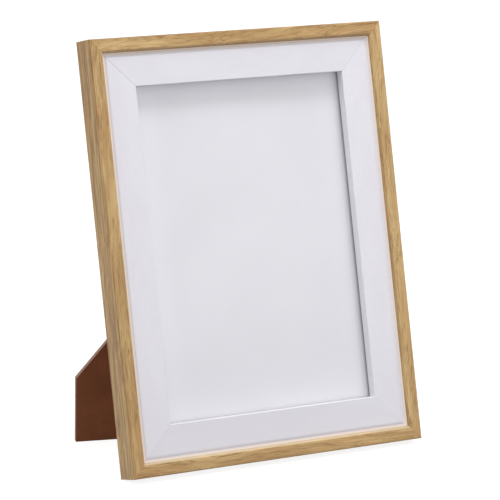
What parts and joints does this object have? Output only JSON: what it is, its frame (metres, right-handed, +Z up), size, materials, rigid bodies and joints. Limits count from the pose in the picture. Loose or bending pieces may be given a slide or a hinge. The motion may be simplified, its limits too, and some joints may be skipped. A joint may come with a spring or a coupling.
{
  "type": "easel back photo frame",
  "caption": "Standing photo frame: mitred oak rails round a recessed white slip, glass and blank card, with a hinged easel strut, turn buttons and keyhole hangers behind.",
  "frame": {"origin": "on the table under the middle of the standing frame's box", "axes": "+Z up, the picture faces -Y, +X to the right as the picture is looked at"},
  "size_m": [0.176, 0.1, 0.2242],
  "materials": {
    "oak": "oak-effect foil, satin",
    "white_slip": "white foil on fibreboard, satin",
    "glass": "clear float glass",
    "white_card": "blank white card, matte",
    "hardboard": "brown hardboard, matte",
    "plated_steel": "zinc plated",
    "rivet_steel": "nickel plated"
  },
  "bodies": {
    "frame": {"oak_rail_top": "oak", "oak_rail_bottom": "oak", "oak_rail_left": "oak", "oak_rail_right": "oak", "slip_rail_top": "white_slip", "slip_rail_bottom": "white_slip", "slip_rail_left": "white_slip", "slip_rail_right": "white_slip", "glass_pane": "glass", "insert_card": "white_card", "backing_board": "hardboard", "hinge_board_leaf": "plated_steel", "hinge_pin": "plated_steel", "portrait_hanger": "plated_steel", "landscape_hanger": "plated_steel", "turn_button_screws": "plated_steel", "corner_v_nails": "plated_steel", "board_leaf_rivets": "rivet_steel", "hanger_rivets": "rivet_steel"},
    "strut": {"strut_leg": "hardboard", "hinge_strut_leaf": "plated_steel", "strut_leaf_rivets": "rivet_steel"},
    "top_button": {"turn_button_top": "plated_steel"},
    "bottom_button": {"turn_button_bottom": "plated_steel"},
    "left_button": {"turn_button_left": "plated_steel"},
    "right_button": {"turn_button_right": "plated_steel"}
  },
  "joints": [
    {"name": "strut_fold", "type": "hinge", "parent": "frame", "child": "strut", "pos_m": [0.0215, -0.00504, 0.1422], "axis": [-0.8339, 0.111, 0.5407], "range_deg": [0, 26.9]},
    {"name": "top_button_swivel", "type": "hinge", "parent": "frame", "child": "top_button", "pos_m": [0, 0.00624, 0.20522], "axis": [0, 0.9796, -0.2011], "continuous": true},
    {"name": "bottom_button_swivel", "type": "hinge", "parent": "frame", "child": "bottom_button", "pos_m": [0, -0.03257, 0.01616], "axis": [0, 0.9796, -0.2011], "continuous": true},
    {"name": "left_button_swivel", "type": "hinge", "parent": "frame", "child": "left_button", "pos_m": [-0.0715, -0.01317, 0.11069], "axis": [0, 0.9796, -0.2011], "continuous": true},
    {"name": "right_button_swivel", "type": "hinge", "parent": "frame", "child": "right_button", "pos_m": [0.0715, -0.01317, 0.11069], "axis": [0, 0.9796, -0.2011], "continuous": true}
  ]
}
